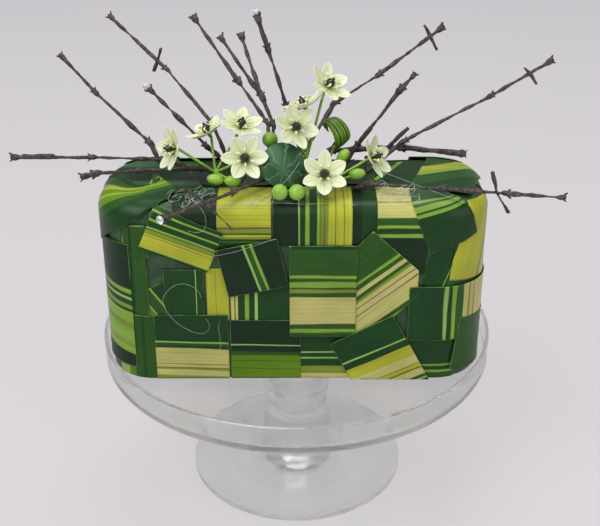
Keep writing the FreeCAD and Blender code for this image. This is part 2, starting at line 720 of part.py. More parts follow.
# ---------------------------------------------------------------- wired leaves
def round_leaf_on_petiole():
    """Domed round leaf facing the front, on a petiole pushed into the foam."""
    facing = Vector(0, -0.9, 0.43).normalize()
    centre = above(-6.4, -20, 18.0)
    dome_centre = centre - facing * value_of("round_leaf_dome")
    shells = []
    for part, radius in (("outside", "round_leaf_dome"),
                         ("inside", "round_leaf_dome - leaf_thickness * 2")):
        ball = doc.addObject("Part::Sphere", f"round_leaf_{part}")
        bind(ball, "Radius", radius)
        ball.Placement.Base = dome_centre
        shells.append(ball)
    dome = boolean("Part::Cut", "round_leaf_dome", *shells)
    disc = doc.addObject("Part::Cylinder", "round_leaf_disc")
    bind(disc, "Radius", "round_leaf_radius")
    bind(disc, "Height", "round_leaf_dome")
    disc.Placement = along(dome_centre, facing)
    blade = boolean("Part::Common", "round_leaf_blade", dome, disc)
    entry = above(-3, -13, 0)
    behind = centre - facing * value_of("leaf_thickness")
    root, direction = stem_line(entry, behind)
    bore("round_leaf", root, direction, "petiole_radius")
    stalk = rod("round_leaf_stalk", root, behind, "petiole_radius", "petiole_radius * 0.9")
    return joined("round_leaf", [blade, stalk])


def curled_leaf_on_petiole():
    """Strip of leaf curled into a loop, on a petiole pushed into the foam."""
    centre = above(22.8, 16, 24.4)
    axis = Vector(0.85, -0.3, 0.45).normalize()
    rings = []
    for part, radius in (("outside", "loop_radius"),
                         ("inside", "loop_radius - leaf_thickness * 2")):
        ring = doc.addObject("Part::Cylinder", f"loop_{part}")
        bind(ring, "Radius", radius)
        bind(ring, "Height", "loop_width")
        ring.Placement = along(centre - axis * value_of("loop_width / 2"), axis)
        rings.append(ring)
    loop = boolean("Part::Cut", "loop_strip", *rings)
    down = (Vector(0, 0, -1) - axis * Vector(0, 0, -1).dot(axis)).normalize()
    joint = centre + down * value_of("loop_radius - leaf_thickness")
    entry = above(20, 22, 0)
    root, direction = stem_line(entry, joint)
    bore("curled_leaf", root, direction, "petiole_radius")
    stalk = rod("loop_stalk", root, joint, "petiole_radius", "petiole_radius * 0.9")
    return joined("curled_leaf", [loop, stalk])


round_leaf = round_leaf_on_petiole()
curled_leaf = curled_leaf_on_petiole()

# ---------------------------------------------------------------- foam, under-leaf, cladding
foam_form = rounded_block("foam_form", "0", "0")
foam_block = boolean("Part::Cut", "foam_block", foam_form,
                     joined("foam_cuts", foam_holes + [leaf_pins]))
leaf_cuts = joined("leaf_cuts", leaf_holes)

LEAF_HEM = 10.0
side_high = value_of("foam_height - foam_top_round") + LEAF_HEM
side_up = 100 * (side_high / 2 - LEAF_HEM) / value_of("foam_height")
corner_reach = value_of("foam_corner")
long_side = value_of("foam_length + foam_corner")
short_side = value_of("foam_depth - 2 * foam_corner")
under_leaf_sides = boolean("Part::Cut", "under_leaf_sides", grouped("under_sides", [
    side_square("under_front", "front", 0, 0, side_up, long_side, side_high, 0, corner_reach),
    side_square("under_back", "back", 0, 0, side_up, long_side, side_high, 0, corner_reach),
    side_square("under_left", "left", 0, 0, side_up, short_side, side_high, 0),
    side_square("under_right", "right", 0, 0, side_up, short_side, side_high, 0),
]), leaf_pins)
under_top = top_square("under_top", 0, 0, 0, long_side, value_of("foam_depth + foam_corner"), 0,
                       value_of("foam_top_round"))
under_leaf_top = boolean("Part::Cut", "under_leaf_top", under_top, leaf_cuts)

PIERCED = ("dark_leaves", "upper_leaf_2", "upper_leaf_3", "upper_leaf_4", "top_leaves")


def cladding(name, squares):
    """Leaf squares of one sub-part, with stem holes where stems pass through them."""
    whole = squares[0] if len(squares) == 1 else grouped(name + "_squares", squares)
    if name in PIERCED:
        return boolean("Part::Cut", name, whole, leaf_cuts)
    return whole


claddings = {
    name: cladding(name, [
        side_square(name if len(rows) == 1 and name not in PIERCED else f"{name}_{number}",
                    "front", *square)
        for number, square in enumerate(rows)
    ])
    for name, rows in FRONT_LEAVES.items()
}
claddings["top_leaves"] = cladding("top_leaves", [
    top_square(f"top_strip_{number}", *strip) for number, strip in enumerate(TOP_LEAVES)
])
claddings["back_leaves"] = grouped("back_leaves", back_squares())
claddings["left_end_leaves"] = grouped("left_end_leaves", end_squares("left", (2, 1, 2), -30))
claddings["right_end_leaves"] = grouped("right_end_leaves", end_squares("right", (1, 2, 1), 30))

# ---------------------------------------------------------------- check and write
NODES = {
    "glass_pedestal": glass_pedestal,
    "glass_plate": glass_plate,
    "foam_block": foam_block,
    "leaf_pins": leaf_pins,
    "under_leaf_sides": under_leaf_sides,
    "under_leaf_top": under_leaf_top,
    "round_leaf": round_leaf,
    "curled_leaf": curled_leaf,
    **claddings,
    **twigs,
    **crystals,
    **sprays,
}

doc.recompute()
for thing in doc.Objects:
    if {"Invalid", "Error"} & set(thing.State):
        raise RuntimeError(f"{thing.Name} failed: {thing.State}")

os.makedirs("parts", exist_ok=True)
for name, thing in NODES.items():
    label(thing, name)
    shape = thing.Shape
    if shape.isNull() or not shape.isValid() or not shape.Solids:
        raise RuntimeError(f"{name} has no valid solid")
    shape.exportStep(f"parts/{name}.step")
print(f"{len(NODES)} sub-parts written")
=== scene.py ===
"""Looks of the flower frog: a foam block clad in squares of striped leaf, on a footed glass
dish, with twigs and flower sprays pushed into its top. Lengths are in metres."""
import json
import math
import random

import bpy
import numpy as np
from mathutils import Matrix, Vector, noise


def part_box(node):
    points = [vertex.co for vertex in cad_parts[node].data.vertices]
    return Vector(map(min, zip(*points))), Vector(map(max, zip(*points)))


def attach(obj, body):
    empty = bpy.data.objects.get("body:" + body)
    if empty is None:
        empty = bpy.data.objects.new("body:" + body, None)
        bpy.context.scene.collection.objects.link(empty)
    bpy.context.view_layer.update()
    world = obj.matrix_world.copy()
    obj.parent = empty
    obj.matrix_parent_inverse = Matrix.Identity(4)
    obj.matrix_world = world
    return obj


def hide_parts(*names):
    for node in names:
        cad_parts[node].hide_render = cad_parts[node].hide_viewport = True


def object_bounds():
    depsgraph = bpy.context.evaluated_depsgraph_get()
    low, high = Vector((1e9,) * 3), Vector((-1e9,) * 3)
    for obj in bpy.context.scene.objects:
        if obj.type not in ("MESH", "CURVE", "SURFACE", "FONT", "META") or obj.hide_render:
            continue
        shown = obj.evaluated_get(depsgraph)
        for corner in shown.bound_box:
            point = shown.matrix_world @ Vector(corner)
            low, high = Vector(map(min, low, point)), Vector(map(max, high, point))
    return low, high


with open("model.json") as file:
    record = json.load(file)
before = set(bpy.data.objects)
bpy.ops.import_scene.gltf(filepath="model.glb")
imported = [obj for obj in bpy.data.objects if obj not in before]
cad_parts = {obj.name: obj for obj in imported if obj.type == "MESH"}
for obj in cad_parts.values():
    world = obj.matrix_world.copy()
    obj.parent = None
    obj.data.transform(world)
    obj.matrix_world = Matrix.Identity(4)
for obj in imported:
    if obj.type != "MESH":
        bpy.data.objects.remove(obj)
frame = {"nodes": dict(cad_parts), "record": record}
cad_low, cad_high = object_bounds()
NODES = frame["nodes"]
BODY_OF = {node: body for body, nodes in frame["record"]["behaviour"]["bodies"].items()
           for node in nodes}
MM = 0.001

# ---------------------------------------------------------------- colours
# sRGB values; each letter stands for one colour in the bands of a leaf.
PALETTE = {
    "K": (15, 40, 20),      # almost black green
    "D": (20, 60, 22),      # dark green
    "G": (40, 80, 24),      # mid green
    "S": (52, 88, 56),      # silvery green
    "F": (93, 126, 17),     # fresh lime green
    "L": (126, 160, 58),    # lime
    "P": (144, 180, 98),    # pale line
    "O": (118, 134, 46),    # olive
    "Y": (168, 170, 50),    # yellow
    "C": (182, 177, 106),   # cream
    "T": (194, 178, 118),   # tan
    "B": (92, 88, 36),      # brownish vein
}


def linear(colour):
    """Linear RGBA of an sRGB colour in 0-255."""
    levels = [c / 255 for c in colour]
    return tuple(c / 12.92 if c <= 0.04045 else ((c + 0.055) / 1.055) ** 2.4
                 for c in levels) + (1.0,)


# ---------------------------------------------------------------- shaders
class Shader:
    """Principled material built node by node."""

    def __init__(self, name, **surface):
        self.material = bpy.data.materials.new(name)
        self.material.use_nodes = True
        self.tree = self.material.node_tree
        self.surface = self.tree.nodes["Principled BSDF"]
        for socket, value in surface.items():
            self.surface.inputs[socket.replace("_", " ")].default_value = value

    def add(self, kind, inputs=None, **settings):
        node = self.tree.nodes.new("ShaderNode" + kind)
        for key, value in settings.items():
            setattr(node, key, value)
        for socket, value in (inputs or {}).items():
            self.join(value, node.inputs[socket])
        return node

    def join(self, value, socket):
        if isinstance(value, bpy.types.NodeSocket):
            self.tree.links.new(value, socket)
        else:
            socket.default_value = value

    def attribute(self, name, output="Fac"):
        return self.add("Attribute", attribute_name=name).outputs[output]

    def scaled(self, vector, scale):
        return self.add("Mapping", {"Vector": vector, "Scale": scale}).outputs[0]

    def noise(self, vector, scale, detail=2.0):
        return self.add("TexNoise", {"Vector": vector, "Scale": scale,
                                     "Detail": detail}).outputs["Fac"]

    def remap(self, value, low, high, to_low, to_high):
        return self.add("MapRange", {"Value": value, "From Min": low, "From Max": high,
                                     "To Min": to_low, "To Max": to_high}).outputs[0]

    def maths(self, operation, first, second):
        node = self.add("Math", operation=operation)
        self.join(first, node.inputs[0])
        self.join(second, node.inputs[1])
        return node.outputs[0]

    def mix(self, factor, first, second, blend="MIX"):
        return self.add("MixRGB", {"Fac": factor, "Color1": first, "Color2": second},
                        blend_type=blend).outputs[0]

    def ramp(self, value, stops):
        node = self.add("ValToRGB", {"Fac": value})
        elements = node.color_ramp.elements
        elements[0].position, elements[0].color = stops[0]
        elements[1].position, elements[1].color = stops[-1]
        for position, colour in stops[1:-1]:
            elements.new(position).color = colour
        return node.outputs[0]

    def bump(self, height, strength, distance):
        node = self.add("Bump", {"Height": height, "Strength": strength,
                                 "Distance": distance})
        self.join(node.outputs[0], self.surface.inputs["Normal"])

    def colour(self, value):
        self.join(value, self.surface.inputs["Base Color"])


LEAF_MATERIALS = {}
BAND_BLUR = 0.004     # half the blend between two bands, as a share of the square


def leaf_material(bands):
    """Waxy leaf with colour bands across its veins; bands is letters with their shares."""
    if bands in LEAF_MATERIALS:
        return LEAF_MATERIALS[bands]
    shares = [(band[0], float(band[1:])) for band in bands.split()]
    total = sum(share for _, share in shares)
    stops, start = [], 0.0
    for letter, share in shares:
        end = start + share / total
        colour = linear(PALETTE[letter])
        edge = min(BAND_BLUR, (end - start) / 3)
        stops += [(start + edge, colour), (end - edge, colour)]
        start = end
    made = Shader(f"leaf_{len(LEAF_MATERIALS):02d}", Roughness=0.38, Specular_IOR_Level=0.22)
    grain = made.attribute("grain", "Vector")
    wander = made.noise(made.scaled(grain, (0.35, 0.03, 1.0)), 1.0, 1.0)
    band = made.maths("ADD", made.attribute("band"), made.remap(wander, 0, 1, -0.014, 0.014))
    colour = made.ramp(band, stops)
    # fine veins along the leaf, then broad blotches, then a patchy pale edge, partly the paler cut
    # edge and partly painted highlight on it
    veins = made.noise(made.scaled(grain, (2.6, 0.02, 1.0)), 1.0, 2.0)
    colour = made.mix(1.0, colour, made.ramp(veins, [(0.3, (0.7, 0.74, 0.7, 1)),
                                                     (0.55, (1.0, 1.0, 1.0, 1)),
                                                     (0.8, (1.14, 1.14, 1.1, 1))]), "MULTIPLY")
    blotch = made.noise(made.scaled(grain, (0.05, 0.03, 1.0)), 1.0, 2.0)
    colour = made.mix(1.0, colour, made.ramp(blotch, [(0.3, (0.82, 0.84, 0.82, 1)),
                                                      (0.7, (1.12, 1.12, 1.1, 1))]), "MULTIPLY")
    # painted highlight: the patchy pale colour at the squares' edges is partly the cut edge's own
    # paler tissue, partly light caught on that edge
    cut_and_highlight_patches = made.remap(made.noise(made.scaled(grain, (0.12, 0.12, 1.0)), 1.0), 0.4, 0.65, 0.1, 0.6)
    cut = made.maths("MULTIPLY", made.remap(made.attribute("edge"), 0.1, 0.32, 1.0, 0.0), cut_and_highlight_patches)
    made.colour(made.mix(cut, colour, linear(PALETTE["P"])))
    made.bump(veins, 0.35, 0.00015)
    LEAF_MATERIALS[bands] = made.material
    return made.material


def speckled(name, dark, light, scale, bump, depth=0.0003, **surface):
    """Material whose colour wanders between two tones over the object's own space."""
    made = Shader(name, **surface)
    place = made.add("TexCoord").outputs["Object"]
    coarse = made.noise(place, scale, 3.0)
    fine = made.noise(place, scale * 6, 2.0)
    both = made.maths("ADD", made.remap(coarse, 0, 1, 0, 0.65), made.remap(fine, 0, 1, 0, 0.35))
    made.colour(made.ramp(both, [(0.36, linear(dark)), (0.64, linear(light))]))
    made.bump(fine, bump, depth)
    return made.material


BARK = speckled("bark", (30, 24, 24), (92, 80, 76), 420, 0.6, 0.0004, Roughness=0.62,
                Specular_IOR_Level=0.35)
STEM = speckled("green_stem", (112, 156, 44), (142, 188, 66), 120, 0.1, Roughness=0.4)
FOAM = speckled("foam", (20, 48, 26), (44, 84, 44), 900, 0.9, Roughness=0.9)
WIRE = speckled("pin_wire", (120, 120, 118), (170, 170, 165), 900, 0.1, Roughness=0.3,
                Metallic=1.0)
OVARY = speckled("ovary", (12, 24, 14), (30, 50, 26), 500, 0.1, Roughness=0.22)
ANTHER = speckled("anther", (206, 200, 140), (236, 232, 190), 900, 0.3, Roughness=0.6)
HIDDEN_LEAF = speckled("under_leaf", (22, 46, 26), (44, 84, 40), 90, 0.1, Roughness=0.4)
FIBRE = speckled("fibre", (150, 156, 146), (214, 220, 210), 300, 0.1, Roughness=0.45)
CRYSTAL = Shader("crystal", Base_Color=(0.97, 0.98, 1.0, 1), Roughness=0.03, IOR=1.6,
                 Transmission_Weight=0.75).material
GLASS = Shader("clear_glass", Base_Color=(0.985, 0.992, 0.99, 1), Roughness=0.02, IOR=1.4,
               Transmission_Weight=1.0, Alpha=0.75).material


def petal_material():
    """Cream-white tepal, green along its midrib and towards its base."""
    made = Shader("petal", Roughness=0.55, Specular_IOR_Level=0.3, Subsurface_Weight=0.12,
                  Subsurface_Scale=0.002)
    along, across = made.attribute("along"), made.attribute("across")
    colour = made.ramp(along, [(0.08, linear((120, 150, 70))), (0.3, linear((203, 213, 165))),
                               (1.0, linear((226, 229, 200)))])
    rib = made.remap(made.maths("ABSOLUTE", across, 0.0), 0.04, 0.2, 0.4, 0.0)
    colour = made.mix(rib, colour, linear((168, 186, 118)))
    made.colour(colour)
    veins = made.noise(made.add("CombineXYZ", {"X": made.maths("MULTIPLY", across, 14.0),
                                               "Y": along}).outputs[0], 1.0)
    made.bump(veins, 0.4, 0.0003)
    return made.material


PETAL = petal_material()


def round_leaf_material():
    """Matt blue-green leaf with pale veins fanning out from the middle of its dome."""
    made = Shader("round_leaf", Roughness=0.55, Specular_IOR_Level=0.25)
    low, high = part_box("round_leaf")
    middle = ((low.x + high.x) / 2, 0, high.z - (high.x - low.x) / 2)
    place = made.add("TexCoord").outputs["Object"]
    local = made.add("VectorMath", {0: place, 1: middle}, operation="SUBTRACT").outputs[0]
    split = made.add("SeparateXYZ", {0: local})
    angle = made.maths("ARCTAN2", split.outputs["X"], split.outputs["Z"])
    wander = made.remap(made.noise(place, 180, 1.0), 0, 1, -0.5, 0.5)
    fan = made.maths("SINE", made.maths("MULTIPLY", made.maths("ADD", angle, wander), 8.0), 0.0)
    vein = made.remap(fan, 0.86, 1.0, 0.0, 0.45)
    tone = made.ramp(made.noise(place, 90, 2.0), [(0.35, linear((30, 66, 36))),
                                                  (0.65, linear((62, 100, 66)))])
    made.colour(made.mix(vein, tone, linear((126, 158, 128))))
    return made.material


ROUND_LEAF = round_leaf_material()


# ---------------------------------------------------------------- pieces
def add_object(name, mesh, node, slot, *materials):
    """New piece that rides on a node's body and takes the place of that node."""
    thing = bpy.data.objects.new(name, mesh)
    bpy.context.scene.collection.objects.link(thing)
    for material in materials:
        mesh.materials.append(material)
    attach(thing, BODY_OF[node])
    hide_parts(node)
    return thing


def float_attribute(mesh, name, values):
    """One number for each point of a mesh, for its material to read."""
    mesh.attributes.new(name, "FLOAT", "POINT").data.foreach_set("value", values)


def vector_attribute(mesh, name, values):
    """Three numbers for each point of a mesh, given one after another."""
    mesh.attributes.new(name, "FLOAT_VECTOR", "POINT").data.foreach_set("vector", values)


def shade_smooth(mesh):
    mesh.polygons.foreach_set("use_smooth", [True] * len(mesh.polygons))


def thicken(thing, thickness):
    """Gives a single sheet its thickness, half to each side."""
    solid = thing.modifiers.new("thickness", "SOLIDIFY")
    solid.thickness, solid.offset = thickness, 0


WELD = 0.002 * MM     # corners that round to the same place at this step are one point


def islands(node):
    """Each loose piece of a CAD node's mesh, as its merged corner points, left to right."""
    mesh = NODES[node].data
    points = np.empty(len(mesh.vertices) * 3)
    mesh.vertices.foreach_get("co", points)
    points = points.reshape(-1, 3)
    mesh.calc_loop_triangles()
    corners = np.empty(len(mesh.loop_triangles) * 3, dtype=np.int64)
    mesh.loop_triangles.foreach_get("vertices", corners)
    merged, index = np.unique(np.round(points / WELD), axis=0, return_inverse=True)
    merged = merged * WELD
    triangles = index.ravel()[corners].reshape(-1, 3)
    tag = np.arange(len(merged))
    while True:
        lowest = tag[triangles].min(axis=1)
        before = tag.copy()
        for corner in range(3):
            np.minimum.at(tag, triangles[:, corner], lowest)
        tag = tag[tag]
        if (tag == before).all():
            break
    pieces = [merged[tag == root] for root in np.unique(tag)]
    return sorted(pieces, key=lambda piece: (piece[:, 0].min() + piece[:, 0].max()))


# ---------------------------------------------------------------- the block, unrolled
BLOCK_LOW, BLOCK_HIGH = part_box("foam_block")
BLOCK_CORNER = 28 * MM
BLOCK_TOP_ROUND = 9 * MM


class Wall:
    """One side of the rounded block laid flat: u along it and round its corners, v up it and
    over the top edge, h outward. yaw turns the front to that side."""

    def __init__(self, yaw):
        self.turn = np.array(Matrix.Rotation(math.radians(yaw), 3, "Z"))
        half = (BLOCK_HIGH - BLOCK_LOW) / 2
        wide, deep = (half.x, half.y) if yaw in (0, 180) else (half.y, half.x)
        self.flat = wide - BLOCK_CORNER
        self.core = deep - BLOCK_CORNER
        middle = (BLOCK_LOW + BLOCK_HIGH) / 2
        self.centre = np.array((middle.x, middle.y, BLOCK_LOW.z))
        self.wall = BLOCK_HIGH.z - BLOCK_LOW.z - BLOCK_TOP_ROUND
        self.inset = BLOCK_CORNER - BLOCK_TOP_ROUND
        self.roll = BLOCK_TOP_ROUND * math.pi / 2

    def unroll(self, points):
        local = (points - self.centre) @ self.turn
        a, b, z = local[:, 0], -local[:, 1], local[:, 2]
        da, db = np.abs(a) - self.flat, b - self.core
        corner, end = (da > 0) & (db > 0), (da > 0) & (db <= 0)
        swing = np.where(corner, np.arctan2(da, np.maximum(db, 1e-9)),
                         np.where(end, math.pi / 2, 0.0))
        radial = np.where(corner, np.hypot(da, db), np.where(end, da, db))
        past = np.where(end, -db, 0.0)
        u = np.where(da > 0, np.sign(a) * (self.flat + swing * BLOCK_CORNER + past), a)
        out, rise = radial - self.inset, z - self.wall
        over = rise > 0
        v = np.where(~over, z, np.where(
            out > 0, self.wall + BLOCK_TOP_ROUND * np.arctan2(rise, np.maximum(out, 1e-9)),
            self.wall + self.roll - out))
        h = np.where(~over, out, np.where(out > 0, np.hypot(out, rise), rise)) - BLOCK_TOP_ROUND
        return u, v, h

    def roll_up(self, u, v, h):
        side = np.clip(u, -self.flat, self.flat)
        beyond = np.abs(u - side)
        swing = np.minimum(beyond / BLOCK_CORNER, math.pi / 2)
        past = beyond - swing * BLOCK_CORNER
        rise = np.clip((v - self.wall) / BLOCK_TOP_ROUND, 0, math.pi / 2)
        inward = np.maximum(v - self.wall - self.roll, 0)
        radial = self.inset + (BLOCK_TOP_ROUND + h) * np.cos(rise) - inward
        a = side + np.sign(u) * np.sin(swing) * radial
        b = self.core + np.cos(swing) * radial - past
        z = np.minimum(v, self.wall) + (BLOCK_TOP_ROUND + h) * np.sin(rise)
        return np.stack([a, -b, z], axis=1) @ self.turn.T + self.centre


class Top:
    """The block's top as a plane: u across, v back."""

    def unroll(self, points):
        return points[:, 0], points[:, 1], points[:, 2] - BLOCK_HIGH.z

    def roll_up(self, u, v, h):
        middle, half = (BLOCK_LOW + BLOCK_HIGH) / 2, (BLOCK_HIGH - BLOCK_LOW) / 2
        core = BLOCK_CORNER - BLOCK_TOP_ROUND
        da = np.abs(u - middle.x) - (half.x - BLOCK_CORNER)
        db = np.abs(v - middle.y) - (half.y - BLOCK_CORNER)
        radial = np.where((da > 0) & (db > 0), np.hypot(da, db), np.maximum(da, db))
        out = np.clip(radial - core, 0, BLOCK_TOP_ROUND + h)
        drop = BLOCK_TOP_ROUND + h - np.sqrt(np.maximum((BLOCK_TOP_ROUND + h) ** 2 - out ** 2, 0))
        return np.stack([u, v, BLOCK_HIGH.z + h - drop], axis=1)


def best_rectangle(u, v, turn=None):
    """Turn and extents of the smallest rectangle round the points, or of the one so turned."""
    best = None
    for degrees in np.arange(-45, 45, 0.5) if turn is None else (turn,):
        c, s = math.cos(math.radians(degrees)), math.sin(math.radians(degrees))
        p, q = c * u + s * v, c * v - s * u
        area = np.ptp(p) * np.ptp(q)
        if best is None or area < best[0] - 1e-12:
            best = (area, c, s, p.min(), p.max(), q.min(), q.max())
    return best[1:]


# Where a square differs from the rectangle round its solid, by its node and its number there: its
# turn in degrees, and in millimetres what is taken off at its left, right, bottom and top, how far
# it is sunk into the squares under it, and how far it may reach past its solid.
FITS = {
    "middle_leaf_3 0": {"left": 7},
    "middle_leaf_4 0": {"right": -11},
    "middle_leaf_5 0": {"sink": -0.25},
    "upper_leaf_5 0": {"turn": 20, "right": 20, "bottom": 4},
    "left_corner_leaf 0": {"turn": 33, "right": 8, "bottom": 8},
    "left_upright_straps 0": {"right": -2, "top": -4, "beyond": 4},
    "dark_leaves 0": {"right": 3, "top": -8, "bottom": 8, "sink": 1.6, "beyond": 8},
    "lower_leaf_4 1": {"left": 4, "top": 11},
}
LEAF_STEP = 1.3 * MM
LEAF_THICKNESS = 0.32 * MM
EDGE_LIFT, EDGE_WIDTH = 0.12 * MM, 4 * MM     # how far the edge of a square stands up, and how wide
RIPPLE, RIPPLE_RATE = 0.06 * MM, 60
WAVE_RATE = 25


def uneven(p, q, rate, layer):
    """Smooth random height at each point; rate is in lumps to the metre."""
    return np.array([noise.noise(Vector((a * rate, b * rate, layer))) for a, b in zip(p, q)])


def leaf_square(surface, piece, lie, seed, lift, fit):
    """Points, faces, bands, grain and distance from the edge of one square of leaf laid over its
    CAD solid."""
    u0, v0, h0 = surface.unroll(piece)
    c, s, p_low, p_high, q_low, q_high = best_rectangle(u0, v0, fit.get("turn"))
    p_low += fit.get("left", 0) * MM
    p_high -= fit.get("right", 0) * MM
    q_low += fit.get("bottom", 0) * MM
    q_high -= fit.get("top", 0) * MM
    columns = max(4, round((p_high - p_low) / LEAF_STEP))
    rows = max(4, round((q_high - q_low) / LEAF_STEP))
    x, y = np.meshgrid(np.linspace(0, 1, columns + 1), np.linspace(0, 1, rows + 1))
    x, y = x.ravel(), y.ravel()
    p, q = p_low + x * (p_high - p_low), q_low + y * (q_high - q_low)
    ripple = uneven(p, q, RIPPLE_RATE, seed * 3.1)
    wave = uneven(p, q, WAVE_RATE, seed * 1.7)
    border = np.minimum.reduce([p - p_low, p_high - p, q - q_low, q_high - q])
    near = np.clip(1 - border / EDGE_WIDTH, 0, 1) ** 2
    u, v = c * p - s * q, s * p + c * q
    beyond = fit.get("beyond", 0) * MM
    u = np.clip(u, u0.min() - beyond, u0.max() + beyond)
    v = np.clip(v, v0.min(), v0.max() + beyond)
    raised = near * (EDGE_LIFT + lift * np.clip(wave + 0.4, 0, 1) * MM)
    h = h0.max() - fit.get("sink", 0) * MM + raised + ripple * RIPPLE
    across = np.array((math.sin(math.radians(lie)), -math.cos(math.radians(lie))))
    t = u * across[0] + v * across[1]
    along = u * across[1] - v * across[0]
    faces = []
    count = len(p)
    for row in range(rows):
        for column in range(columns):
            a = row * (columns + 1) + column
            b, e, d = a + 1, a + columns + 2, a + columns + 1
            faces += [(a, b, e, d), (a + count, d + count, e + count, b + count)]
    rim = ([i for i in range(columns)]
           + [columns + i * (columns + 1) for i in range(rows)]
           + [count - 1 - i for i in range(columns)]
           + [(rows - i) * (columns + 1) for i in range(rows)])
    for first, second in zip(rim, rim[1:] + rim[:1]):
        faces.append((second, first, first + count, second + count))
    upper = surface.roll_up(u, v, h)
    lower = surface.roll_up(u, v, h - LEAF_THICKNESS)
    span = max(np.ptp(t), 1e-6)
    grain = np.stack([t / MM, along / MM, np.full(count, seed * 11.3)], axis=1)
    per_point = ((t - t.min()) / span, grain, border / MM)
    return (np.concatenate([upper, lower]), faces,
            *(np.concatenate([values, values]) for values in per_point))


def leaf_object(node, surface, styles, slot, lift=0.25):
    """All squares of one CAD node, each with its own bands. lift is how far their edges may stand
    up, in millimetres."""
    points, faces, band, grain, edge, face_style = [], [], [], [], [], []
    offset = 0
    pieces = islands(node)
    for number, piece in enumerate(pieces):
        lie, _ = styles[number % len(styles)]
        seed = sum(map(ord, node)) % 97 + number
        new_points, new_faces, *values = leaf_square(surface, piece, lie, seed, lift,
                                                     FITS.get(f"{node} {number}", {}))
        points.append(new_points)
        faces += [tuple(i + offset for i in face) for face in new_faces]
        face_style += [number] * len(new_faces)
        for store, new_values in zip((band, grain, edge), values):
            store.append(new_values)
        offset += len(new_points)
    mesh = bpy.data.meshes.new(node + "_skin")
    mesh.from_pydata(np.concatenate(points).tolist(), [], faces)
    float_attribute(mesh, "band", np.concatenate(band).astype(np.float32))
    float_attribute(mesh, "edge", np.concatenate(edge).astype(np.float32))
    vector_attribute(mesh, "grain", np.concatenate(grain).astype(np.float32).ravel())
    add_object(node + "_leaf", mesh, node, slot,
               *[leaf_material(styles[n % len(styles)][1]) for n in range(len(pieces))])
    mesh.polygons.foreach_set("material_index", face_style)
    shade_smooth(mesh)
    mesh.validate()
    mesh.update()


FRONT, BACK, LEFT, RIGHT = Wall(0), Wall(180), Wall(-90), Wall(90)
PLAIN, MID = "D50 K20 D30", "G40 D10 G50"

# Each square: direction of its stripes in degrees, then its bands across them. Bands of lying
# stripes run from the top down, those of upright stripes from left to right.
FRONT_STYLES = {
    "left_corner_leaf": [(35, "D12 G14 L5 Y6 F10 L5 F10 G12 D26")],
    "left_corner_strap": [(-8, "K33 L3 D3 P2 D4 O3 D2 L8 O5 L11 O3 L5 K18"), (90, "P30 F70")],
    "left_upright_straps": [(90, MID), (90, MID)],
    "dark_leaves": [(90, "D8 P4 G88"), (-55, "D30 L5 G25 P3 F12 G25"), (90, "D80 P2 D18"),
                    (0, "S20 K60 D20"), (0, "D40 P3 D8 P3 D14 O14 C8"), (90, "K40 D60"),
                    (70, "D70 P2 D6 G22")],
    "upper_leaf_1": [(-22, "D9 L4 D13 L4 D13 L4 D2 O8 B1 Y5 B1 Y26 L3 D5")],
    "upper_leaf_2": [(0, "Y74 B2 O6 D2 Y3 O3 D3 F1 D6")],
    "upper_leaf_3": [(90, "K32 P2 D7 L5 D9 L4 B1 O4 B1 O4 Y9 B1 Y9 B1 Y10")],
    "upper_leaf_4": [(0, "D4 C18 B1 T12 B1 C12 G6 L3 D5 L3 K35")],
    "upper_leaf_5": [(14, "S34 L3 S4 L6 G3 L3 D47")],
    "right_corner_leaf": [(72, "P3 D10 Y42 O5 C12 O4 C10 B1 C13")],
    "middle_leaf_1": [(-71, "K38 L4 G8 P3 K47")],
    "middle_leaf_2": [(90, "Y40 O3 Y57"), (90, "C6 B2 C4 D11 L7 D9 P5 D56")],
    "middle_leaf_3": [(0, "D4 G29 L3 G4 L6 G2 O4 G5 C9 T3 C16 T3 G6 L4 G5")],
    "middle_leaf_4": [(39, "G38 L3 G5 C5 G4 O3 C5 B1 T6 B1 C18 G4 L3 D4")],
    "middle_leaf_5": [(90, "D27 P2 D4 L3 G6 C5 B1 C4 B1 T3 C12 O10 D20")],
    "lower_leaf_1": [(-2, "D42 P2 G4 D4 C24 B1 C4 B1 O3 C9 O6")],
    "lower_leaf_2": [(-1, "K40 P2 K10 G6 F8 G1 F12 G1 F14 G2")],
    "lower_leaf_3": [(26, "D34 P2 D9 Y14 C12 B1 Y5 B2 C9 G4 P3 D4")],
    "lower_leaf_4": [(0, "D60 L5 D9 L5 G12"), (75, "G50 G50")],
}
OTHER_STYLES = [(0, "D44 P3 D8 L5 D10 C20 B1 C9"), (90, "K50 L5 D45"), (0, PLAIN),
                (90, "G30 L6 G4 L4 D56"), (0, "Y30 B1 Y14 D10 L4 D41"), (90, MID),
                (0, "D60 P3 D37")]
TOP_STYLES = [(0, "S30 K30 S10 D30"), (90, "K60 D40"), (90, PLAIN), (90, "D50 P3 K47"),
              (60, "D30 L5 D65"), (20, "G20 Y12 L8 G20 D40")]

for node_name, styles in FRONT_STYLES.items():
    leaf_object(node_name, FRONT, styles,
                "dark_leaf" if node_name == "dark_leaves" else "striped_leaf")
leaf_object("back_leaves", BACK, OTHER_STYLES, "dark_leaf")
leaf_object("left_end_leaves", LEFT, OTHER_STYLES[1:], "dark_leaf")
leaf_object("right_end_leaves", RIGHT, OTHER_STYLES[2:], "dark_leaf")
leaf_object("top_leaves", Top(), TOP_STYLES, "dark_leaf", 0.5)

# ---------------------------------------------------------------- nodes that keep their mesh
for node_name, material in (("glass_pedestal", GLASS), ("glass_plate", GLASS),
                            ("foam_block", FOAM), ("leaf_pins", WIRE),
                            ("under_leaf_sides", HIDDEN_LEAF), ("under_leaf_top", HIDDEN_LEAF),
                            ("round_leaf", ROUND_LEAF),
                            ("left_spray_stems", STEM), ("centre_spray_stems", STEM),
                            ("right_spray_stems", STEM)):
    NODES[node_name].data.materials.clear()
    NODES[node_name].data.materials.append(material)

# ---------------------------------------------------------------- twigs
BARK_VOXEL = 0.36 * MM


